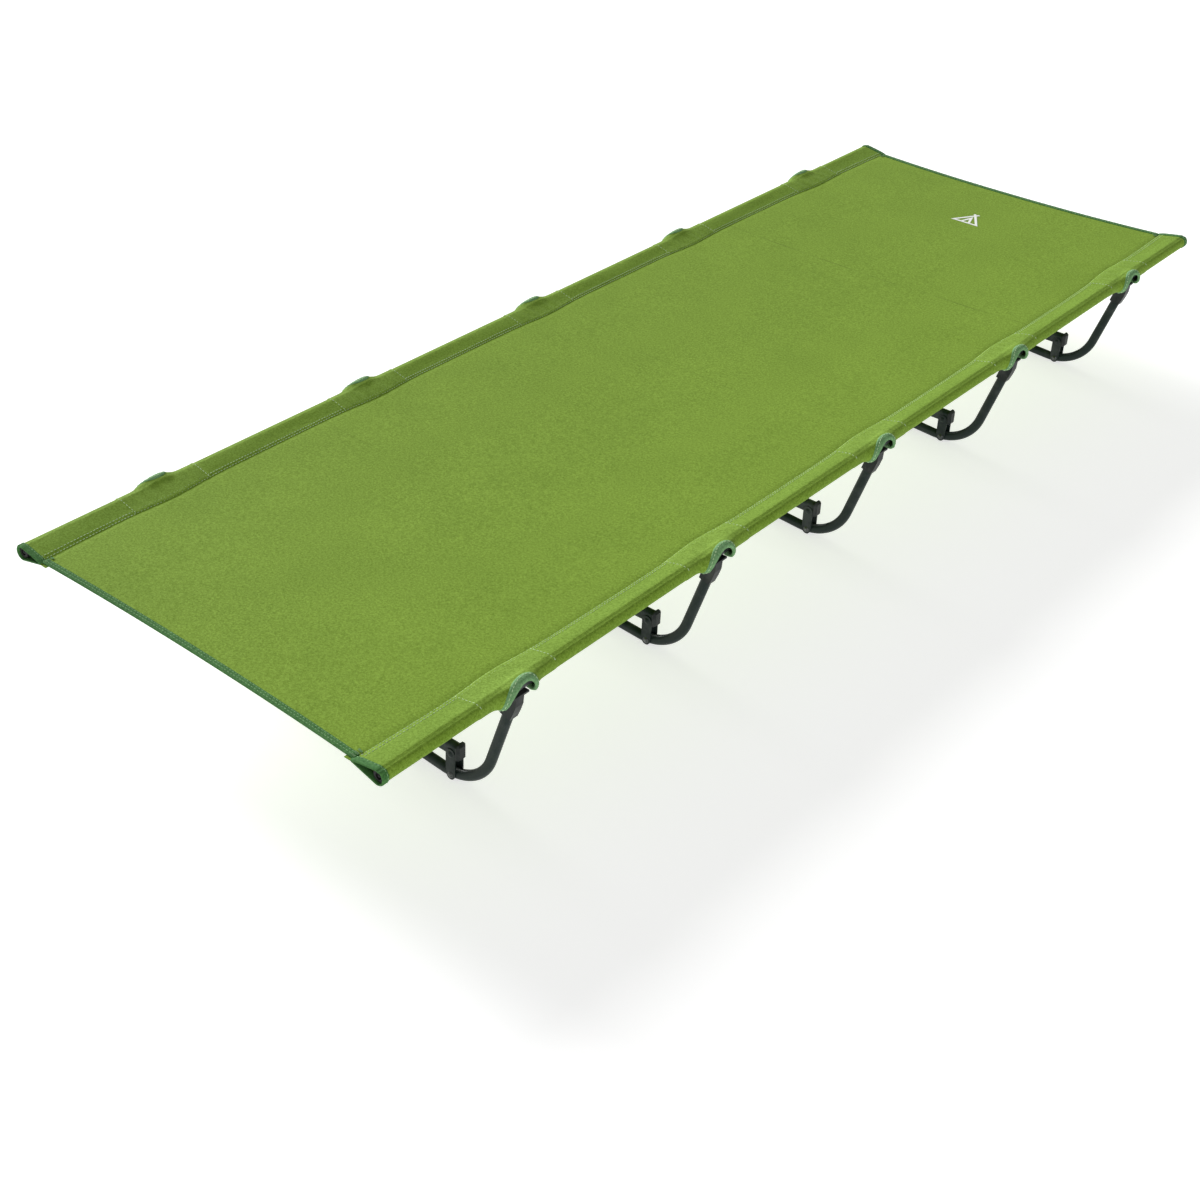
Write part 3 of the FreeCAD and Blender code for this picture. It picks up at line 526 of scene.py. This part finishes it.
def addMath(tree, operation, first, second=None, clamp=False):
    node = tree.nodes.new("ShaderNodeMath")
    node.operation = operation
    node.use_clamp = clamp
    for socket, item in zip(node.inputs, (first, second)):
        if item is None:
            continue
        if isinstance(item, (int, float)):
            socket.default_value = item
        else:
            tree.links.new(item, socket)
    return node.outputs[0]


def addNoise(tree, vector, scale, detail=2.0, rough=0.5):
    node = tree.nodes.new("ShaderNodeTexNoise")
    node.inputs["Scale"].default_value = scale if isinstance(scale, (int, float)) else 1
    if not isinstance(scale, (int, float)):
        tree.links.new(scale, node.inputs["Scale"])
    node.inputs["Detail"].default_value = detail
    node.inputs["Roughness"].default_value = rough
    tree.links.new(vector, node.inputs["Vector"])
    return node.outputs["Fac"]


def spread(tree, value, low, high, toLow=0.0, toHigh=1.0):
    node = tree.nodes.new("ShaderNodeMapRange")
    node.inputs["From Min"].default_value = low
    node.inputs["From Max"].default_value = high
    node.inputs["To Min"].default_value = toLow
    node.inputs["To Max"].default_value = toHigh
    tree.links.new(value, node.inputs["Value"])
    return node.outputs["Result"]


def mixColour(tree, factor, first, second, blend="MIX"):
    node = tree.nodes.new("ShaderNodeMix")
    node.data_type = "RGBA"
    node.blend_type = blend
    for socket, item in ((node.inputs[0], factor), (node.inputs[6], first), (node.inputs[7], second)):
        if isinstance(item, (int, float)):
            socket.default_value = item
        elif isinstance(item, (tuple, list)):
            socket.default_value = tuple(item)
        else:
            tree.links.new(item, socket)
    return node.outputs[2]


def buildWeave():
    # plain weave: warp and weft threads cross, one over the other in turn; two
    # noises make the threads uneven and the dye patchy
    group, given, out = newGroup(
        "clothWeave",
        [("Thread", "NodeSocketFloat", 1300.0), ("Colour", "NodeSocketColor", (0.2, 0.3, 0.05, 1)),
         ("Shade", "NodeSocketColor", (0.1, 0.2, 0.03, 1)), ("Mottle", "NodeSocketFloat", 0.5)],
        [("Colour", "NodeSocketColor"), ("Height", "NodeSocketFloat"), ("Rough", "NodeSocketFloat")])
    where = group.nodes.new("ShaderNodeTexCoord").outputs["Object"]
    wobble = group.nodes.new("ShaderNodeTexNoise")
    wobble.inputs["Scale"].default_value = 60
    group.links.new(where, wobble.inputs["Vector"])
    bent = group.nodes.new("ShaderNodeVectorMath")
    bent.operation = "MULTIPLY_ADD"
    group.links.new(wobble.outputs["Color"], bent.inputs[0])
    bent.inputs[1].default_value = (0.0009, 0.0009, 0.0)
    group.links.new(where, bent.inputs[2])
    parts = group.nodes.new("ShaderNodeSeparateXYZ")
    group.links.new(bent.outputs[0], parts.inputs[0])
    acrossAngle = addMath(group, "MULTIPLY", parts.outputs["X"], given.outputs["Thread"])
    alongAngle = addMath(group, "MULTIPLY", parts.outputs["Y"], given.outputs["Thread"])
    across = addMath(group, "SINE", addMath(group, "MULTIPLY", acrossAngle, math.pi))
    along = addMath(group, "SINE", addMath(group, "MULTIPLY", alongAngle, math.pi))
    over = spread(group, addMath(group, "MULTIPLY", across, along), -1, 1)
    fine = addNoise(group, where, 700, 2, 0.6)
    grain = addNoise(group, where, 330, 3, 0.7)
    patches = addNoise(group, where, 9, 4, 0.6)
    height = addMath(group, "MULTIPLY", over, 0.6)
    height = addMath(group, "ADD", height, addMath(group, "MULTIPLY", fine, 0.5))
    height = addMath(group, "ADD", height, addMath(group, "MULTIPLY", grain, 0.6))
    shade = addMath(group, "ADD", addMath(group, "MULTIPLY", spread(group, fine, 0.38, 0.62), 0.34),
                    addMath(group, "MULTIPLY", spread(group, grain, 0.38, 0.62), 0.46))
    shade = addMath(group, "ADD", shade, addMath(group, "MULTIPLY", spread(group, patches, 0.3, 0.7), 0.12))
    shade = addMath(group, "ADD", shade, addMath(group, "MULTIPLY", over, 0.12))
    amount = addMath(group, "MULTIPLY", shade, given.outputs["Mottle"], clamp=True)
    dyed = mixColour(group, amount, given.outputs["Colour"], given.outputs["Shade"])
    group.links.new(dyed, out.inputs["Colour"])
    group.links.new(height, out.inputs["Height"])
    group.links.new(spread(group, grain, 0.2, 0.8, 0.72, 0.94), out.inputs["Rough"])
    return group


def buildFolds():
    # a faint line across the cloth where it was folded for packing: a narrow mask at one place along the cot,
    # broken up by noise; the mask dents the cloth and also drives painted shade along the crease
    group, given, out = newGroup(
        "foldDentsAndCreaseShade", [("Place", "NodeSocketFloat", 0.4725), ("Width", "NodeSocketFloat", 0.0016)],
        [("Mask", "NodeSocketFloat"), ("Height", "NodeSocketFloat")])
    where = group.nodes.new("ShaderNodeTexCoord").outputs["Object"]
    parts = group.nodes.new("ShaderNodeSeparateXYZ")
    group.links.new(where, parts.inputs[0])
    drift = addMath(group, "MULTIPLY", addMath(group, "SUBTRACT", addNoise(group, where, 6, 1), 0.5), 0.012)
    y = addMath(group, "ADD", parts.outputs["Y"], drift)
    away = addMath(group, "ABSOLUTE", addMath(group, "SUBTRACT", y, given.outputs["Place"]))
    near = addMath(group, "DIVIDE", away, given.outputs["Width"])
    line = addMath(group, "SUBTRACT", 1.0, near, clamp=True)
    broken = spread(group, addNoise(group, where, 11, 3), 0.38, 0.62)
    mask = addMath(group, "MULTIPLY", line, broken, clamp=True)
    group.links.new(mask, out.inputs["Mask"])
    group.links.new(addMath(group, "MULTIPLY", mask, -1.0), out.inputs["Height"])
    return group


def buildCoat():
    # satin powder coat: fine orange peel, faint dust and scuffs on what stands out
    group, given, out = newGroup(
        "coatWear",
        [("Base", "NodeSocketColor", (0.02, 0.03, 0.03, 1)), ("Worn", "NodeSocketColor", (0.2, 0.2, 0.2, 1)),
         ("Wear", "NodeSocketFloat", 0.3), ("Smooth", "NodeSocketFloat", 0.32),
         ("Rough", "NodeSocketFloat", 0.5)],
        [("Colour", "NodeSocketColor"), ("Rough", "NodeSocketFloat"), ("Height", "NodeSocketFloat"),
         ("Bare", "NodeSocketFloat")])
    where = group.nodes.new("ShaderNodeTexCoord").outputs["Object"]
    peel = addNoise(group, where, 1100, 2, 0.5)
    cloud = addNoise(group, where, 38, 4, 0.6)
    flecks = addNoise(group, where, 420, 2, 0.7)
    shape = group.nodes.new("ShaderNodeNewGeometry")
    edges = spread(group, shape.outputs["Pointiness"], 0.52, 0.60)
    scuff = addMath(group, "MULTIPLY", edges, spread(group, cloud, 0.45, 0.65), clamp=True)
    scuff = addMath(group, "MULTIPLY", scuff, given.outputs["Wear"], clamp=True)
    speck = addMath(group, "MULTIPLY", spread(group, flecks, 0.70, 0.78), given.outputs["Wear"], clamp=True)
    worn = addMath(group, "MAXIMUM", scuff, addMath(group, "MULTIPLY", speck, 0.35))
    dusty = addMath(group, "MULTIPLY", spread(group, cloud, 0.4, 0.75), 0.05)
    base = mixColour(group, dusty, given.outputs["Base"], (0.16, 0.16, 0.15, 1))
    group.links.new(mixColour(group, worn, base, given.outputs["Worn"]), out.inputs["Colour"])
    rough = group.nodes.new("ShaderNodeMapRange")
    group.links.new(cloud, rough.inputs["Value"])
    rough.inputs["From Min"].default_value = 0.3
    rough.inputs["From Max"].default_value = 0.7
    group.links.new(given.outputs["Smooth"], rough.inputs["To Min"])
    group.links.new(given.outputs["Rough"], rough.inputs["To Max"])
    group.links.new(rough.outputs["Result"], out.inputs["Rough"])
    group.links.new(peel, out.inputs["Height"])
    group.links.new(worn, out.inputs["Bare"])
    return group


weaveGroup, foldDentShadeGroup, coatGroup = buildWeave(), buildFolds(), buildCoat()


def newMaterial(name):
    material = bpy.data.materials.new(name)
    material.use_nodes = True
    tree = material.node_tree
    shader = tree.nodes["Principled BSDF"]
    return material, tree, shader


def placeGroup(tree, group, values):
    node = tree.nodes.new("ShaderNodeGroup")
    node.node_tree = group
    for label, value in values.items():
        node.inputs[label].default_value = value
    return node


def addBump(tree, shader, height, distance, strength):
    bump = tree.nodes.new("ShaderNodeBump")
    bump.inputs["Distance"].default_value = distance
    bump.inputs["Strength"].default_value = strength
    tree.links.new(height, bump.inputs["Height"])
    tree.links.new(bump.outputs["Normal"], shader.inputs["Normal"])


def clothMaterial(name, colour, shade, mottle, thread=1300.0, foldDentsAndShade=False, bumpHeight=0.00035):
    material, tree, shader = newMaterial(name)
    values = {"Thread": thread, "Colour": (*colour, 1), "Shade": (*shade, 1), "Mottle": mottle}
    weave = placeGroup(tree, weaveGroup, values)
    tint, height = weave.outputs["Colour"], weave.outputs["Height"]
    if foldDentsAndShade:
        for place, dentAndShadeDepth in ((0.4725, 0.55), (0.0, 0.22), (-0.4725, 0.18)):
            fold = placeGroup(tree, foldDentShadeGroup, {"Place": place, "Width": 0.0022})
            amount = addMath(tree, "MULTIPLY", fold.outputs["Mask"], dentAndShadeDepth)
            # painted shade: along each fold line the cloth colour is darkened towards a dimmer copy of its
            # dark tone, standing in for shade in the crease; the dent added below is real relief
            tint = mixColour(tree, amount, tint, (*(0.62 * c for c in shade), 1))
            dent = addMath(tree, "MULTIPLY", fold.outputs["Height"], dentAndShadeDepth * 1.6)
            height = addMath(tree, "ADD", height, dent)
    tree.links.new(tint, shader.inputs["Base Color"])
    tree.links.new(weave.outputs["Rough"], shader.inputs["Roughness"])
    shader.inputs["Sheen Weight"].default_value = 0.02
    shader.inputs["Sheen Roughness"].default_value = 0.5
    shader.inputs["Specular IOR Level"].default_value = 0.12
    addBump(tree, shader, height, bumpHeight, 0.5)
    return material


def coatMaterial(name, base, worn, wear, smooth, rough, metallic=0.0):
    material, tree, shader = newMaterial(name)
    values = {"Base": (*base, 1), "Worn": (*worn, 1), "Wear": wear, "Smooth": smooth, "Rough": rough}
    coat = placeGroup(tree, coatGroup, values)
    tree.links.new(coat.outputs["Colour"], shader.inputs["Base Color"])
    tree.links.new(coat.outputs["Rough"], shader.inputs["Roughness"])
    shader.inputs["Metallic"].default_value = metallic
    shader.inputs["Specular IOR Level"].default_value = 0.22
    addBump(tree, shader, coat.outputs["Height"], 0.00006, 0.35)
    return material


looks = {
    "panel": clothMaterial("greenCanvas", (0.256, 0.402, 0.044), (0.090, 0.164, 0.006), 0.90, foldDentsAndShade=True),
    "sleeve": clothMaterial("greenCanvasSleeve", (0.238, 0.384, 0.046), (0.082, 0.156, 0.006), 0.90),
    "patch": clothMaterial("greenCanvasPatch", (0.246, 0.392, 0.052), (0.088, 0.164, 0.009), 0.90),
    "binding": clothMaterial("paleGreenTape", (0.235, 0.430, 0.205), (0.070, 0.190, 0.060), 0.85, 1700.0),
    "hem": clothMaterial("deepGreenTape", (0.078, 0.215, 0.055), (0.022, 0.085, 0.024), 0.85, 1700.0),
    "thread": clothMaterial("paleThread", (0.56, 0.72, 0.44), (0.36, 0.52, 0.24), 0.5, 2600.0,
                            bumpHeight=0.0001),
    "hemThread": clothMaterial("greenThread", (0.24, 0.42, 0.20), (0.12, 0.26, 0.10), 0.5, 2600.0,
                               bumpHeight=0.0001),
    "print": clothMaterial("whitePrint", (0.86, 0.87, 0.84), (0.70, 0.74, 0.62), 0.5),
    "tube": coatMaterial("blackGreenCoat", (0.008, 0.017, 0.015), (0.16, 0.17, 0.17), 0.15, 0.36, 0.50),
    "plate": coatMaterial("blackPlateCoat", (0.007, 0.014, 0.013), (0.20, 0.21, 0.21), 0.12, 0.34, 0.46),
    "rail": coatMaterial("greyRailCoat", (0.030, 0.034, 0.034), (0.30, 0.31, 0.31), 0.2, 0.22, 0.36, 0.3),
    "clip": coatMaterial("blackNylon", (0.012, 0.016, 0.016), (0.10, 0.10, 0.10), 0.3, 0.38, 0.55),
    "plug": coatMaterial("blackPlug", (0.012, 0.012, 0.012), (0.08, 0.08, 0.08), 0.2, 0.5, 0.7),
    "rivet": coatMaterial("rivetSteel", (0.07, 0.075, 0.075), (0.45, 0.45, 0.45), 0.4, 0.22, 0.42, 0.9),
    "bare": coatMaterial("bareAluminium", (0.55, 0.56, 0.57), (0.75, 0.75, 0.75), 0.3, 0.28, 0.45, 1.0),
    "cord": clothMaterial("blackCord", (0.03, 0.03, 0.03), (0.012, 0.012, 0.012), 0.6, 1500.0),
}
print("materials built")

# the print on the panel: a plain tent outline of one line's width, its door open
tentPrint = {
    "place": (0.0, 0.790),
    "width": 0.044,
    "height": 0.036,
    "line": 0.0042,
    "lift": 0.00016,      # off the cloth
    "thick": 0.00022,
}


def makeTentPrint(name):
    # strokes of constant width between corner points, each stroke a strip laid on
    # the panel's surface; the mitred corners are shared by neighbouring strokes
    w, h, line = tentPrint["width"] / 2, tentPrint["height"], tentPrint["line"]
    outline = np.array([(-w, 0), (0, h), (w, 0), (-w, 0)])
    door = np.array([(-w * 0.34, 0), (0, h * 0.62), (w * 0.34, 0)])
    poles = [np.array([(0, h), (-w * 0.20, h * 1.17)]), np.array([(0, h), (w * 0.20, h * 1.17)])]
    grids = []
    for corners, isClosed in ((outline, True), (door, False), (poles[0], False), (poles[1], False)):
        count = len(corners) - 1
        way = np.diff(corners, axis=0)
        way /= np.linalg.norm(way, axis=1, keepdims=True)
        side = np.stack([-way[:, 1], way[:, 0]], -1)
        mitres = []
        for i in range(count + 1):
            before, after = (i - 1, i) if not isClosed else ((i - 1) % count, i % count)
            if not isClosed and i == 0:
                mitres.append(side[0])
            elif not isClosed and i == count:
                mitres.append(side[-1])
            else:
                both = side[before] + side[after]
                mitres.append(both / (both @ side[after]))
        mitres = np.array(mitres) * line / 2
        steps = np.linspace(0, 1, 16)
        for i in range(count):
            ahead = corners[i + 1] - corners[i]
            widen = mitres[i + 1] - mitres[i]
            left = corners[i] + mitres[i] + steps[:, None] * (ahead + widen)
            right = corners[i] - mitres[i] + steps[:, None] * (ahead - widen)
            flat = np.stack([left, 0.5 * (left + right), right], 1)
            x = tentPrint["place"][0] + flat[..., 0]
            y = tentPrint["place"][1] + flat[..., 1] - h / 2
            heights = (tentPrint["lift"] + tentPrint["thick"], tentPrint["lift"])
            ring = [panelPoint(np.abs(x), y, lift) for lift in heights]
            for layer in ring:
                layer[..., 0] = x
            top, under = ring[0], ring[1][:, ::-1]
            around = np.concatenate([top, under], 1)
            caps = [around[k:k + 1].mean(1, keepdims=True).repeat(6, 1) for k in (0, 15)]
            around = np.concatenate([caps[0], around, caps[1]])
            grids.append((around, gridFaces(len(around), 6, False, True)[:, ::-1]))
    return makeObject(name, *joinGrids(grids), smooth=False)



def finishPiece(piece, look, nodes=()):
    piece.data.materials.clear()
    piece.data.materials.append(looks[look])
    if nodes:
        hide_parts(*nodes)
    return piece


def bendWithSide(piece):
    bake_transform(piece)


for side, sideName in ((1, "right"), (-1, "left")):
    label = sideName.capitalize()
    body = f"{sideName}_side"

    panel = finishPiece(makePanelHalf(side, f"bedPanel{label}"), "panel", ["bed_panel"])
    bendWithSide(panel)
    for end, endName in ((-1, "foot"), (1, "head")):
        hemPiece = makeHem(side, end, f"{endName}Hem{label}")
        finishPiece(hemPiece, "hem", [f"{endName}_hem"])
        bendWithSide(hemPiece)

    sleeve = makeSleeve(side, f"sleeve{label}")
    patches = makePatches(side, f"patches{label}")
    bindings = makeBindings(side, f"bindings{label}")
    endTapes = makeEndTapes(side, f"endTapes{label}")
    finishPiece(sleeve, "sleeve", [f"sleeve_{sideName}"])
    finishPiece(patches, "patch", [f"sleeve_patches_{sideName}"])
    finishPiece(bindings, "binding", [f"cutout_bindings_{sideName}"])
    finishPiece(endTapes, "hem", [f"sleeve_end_tapes_{sideName}"])

    along = np.linspace(-sleeveEnd + 0.006, sleeveEnd - 0.006, 900)
    rows = [sleeveRow(0.0022, along, 0.0001), sleeveRow(0.0072, along, 0.0001)]
    acrossTop = np.linspace(0.002, topRun + 0.011, 40)
    for c in legYs:
        for end in (-1, 1):
            rows.append(sleeveRow(acrossTop, c + end * (patchHalf - 0.004), 0.0006))
        line = cutoutLine(np.linspace(0, 2 * math.pi, 160), binding["width"] - 0.0022)
        s = outerLine - line[:, 1]
        rows.append((sleevePoint(s, c + line[:, 0], binding["thick"] * 1.05), sleeveNormal(s)))
    seams = finishPiece(makeStitches(rows, side, f"sleeveStitches{label}"), "thread")

    rows = []
    for end in (-1, 1):
        s = np.linspace(0.001, sleeveRun - 0.001, 120)
        rows.append(sleeveRow(s, end * (sleeveEnd - hem["width"] + 0.0022), hem["thick"]))
    tapeStitches = finishPiece(makeStitches(rows, side, f"endStitches{label}"), "hemThread")

    x = np.linspace(0.0015, seamX - 0.001, 200)
    rows = []
    for end in (-1, 1):
        for inward in (0.0026, hem["width"] - 0.0022):
            rows.append(panelRow(x, end * (panelEnd(x) - inward), hem["thick"] * 1.02))
        for inset in np.linspace(0.001, 0.006, 5):
            tack = np.full(12, seamX - inset)
            inward = np.linspace(0.0, 0.015, 12)
            rows.append(panelRow(tack, end * (panelEnd(tack) - inward), hem["thick"] * 1.3))
    hemStitches = finishPiece(makeStitches(rows, side, f"hemStitches{label}"), "hemThread")
    bendWithSide(hemStitches)

    for piece in (sleeve, patches, bindings, endTapes, seams, tapeStitches):
        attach(piece, body)

    print(f"{sideName} cloth made")

mark = finishPiece(makeTentPrint("tentPrint"), "print")
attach(mark, "under_frame")

tubeNodes = [f"lever_{s}_{n}" for s in ("right", "left") for n in range(1, 6)]
tubeNodes += [f"crossbar_{n}" for n in range(1, 6)]
nodeLooks = {name: "tube" for name in tubeNodes}
nodeLooks.update({f"rail_clip_{s}_{n}": "clip" for s in ("right", "left") for n in range(1, 6)})
nodeLooks.update({f"rail_{s}_{n}": "rail" for s in ("right", "left") for n in range(1, 5)})
for s in ("right", "left"):
    nodeLooks.update({f"lever_plugs_{s}": "plug", f"rail_end_plugs_{s}": "plug", f"shock_cord_{s}": "cord",
                      f"bracket_plates_{s}": "plate", f"rail_ferrules_{s}": "bare"})
nodeLooks.update({"crossbar_caps": "clip", "arm_catches": "clip"})
nodeLooks.update({"bar_rivets": "plate", "pivot_rivets": "rivet"})
for name, look in nodeLooks.items():
    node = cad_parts[name]
    for part in node.material_slots:
        part.material = looks[look]
    if not node.material_slots:
        node.data.materials.append(looks[look])
print("frame finished")

studio = {
    "key": 5.4,
    "keyFrom": (-0.90, 0.18, 0.40),
    "keySpread": 30,      # degrees
    "fill": 1.25,
    "fillFrom": (0.80, -0.58, 0.16),
    "fillSpread": 40,
    "world": 0.26,
    "floorTone": 0.60,
    "floorGlow": 0.66,
    "floorHalf": 30.0,
}


def addLamp(name, comesFrom, power, spreadAngle):
    lamp = bpy.data.lights.new(name, "SUN")
    lamp.energy = power
    lamp.angle = math.radians(spreadAngle)
    holder = bpy.data.objects.new(name, lamp)
    bpy.context.collection.objects.link(holder)
    holder.rotation_euler = (-Vector(comesFrom)).to_track_quat("-Z", "Y").to_euler()


addLamp("keyLamp", studio["keyFrom"], studio["key"], studio["keySpread"])
addLamp("fillLamp", studio["fillFrom"], studio["fill"], studio["fillSpread"])
bpy.context.scene.view_settings.view_transform = "Standard"

world = bpy.data.worlds.new("studio")
world.use_nodes = True
world.node_tree.nodes["Background"].inputs["Color"].default_value = (1, 1, 1, 1)
world.node_tree.nodes["Background"].inputs["Strength"].default_value = studio["world"]
bpy.context.scene.world = world

half = studio["floorHalf"]
floorCorners = [(-half, -half, 0), (half, -half, 0), (half, half, 0), (-half, half, 0)]
floor = makeObject("floor", floorCorners, [(0, 1, 2, 3)], False)
floorMaterial, _, floorShader = newMaterial("paleFloor")
floorShader.inputs["Base Color"].default_value = (*[studio["floorTone"]] * 3, 1)
floorShader.inputs["Roughness"].default_value = 0.9
floorShader.inputs["Emission Color"].default_value = (1, 1, 1, 1)
floorShader.inputs["Emission Strength"].default_value = studio["floorGlow"]
floor.data.materials.append(floorMaterial)
print("studio set")
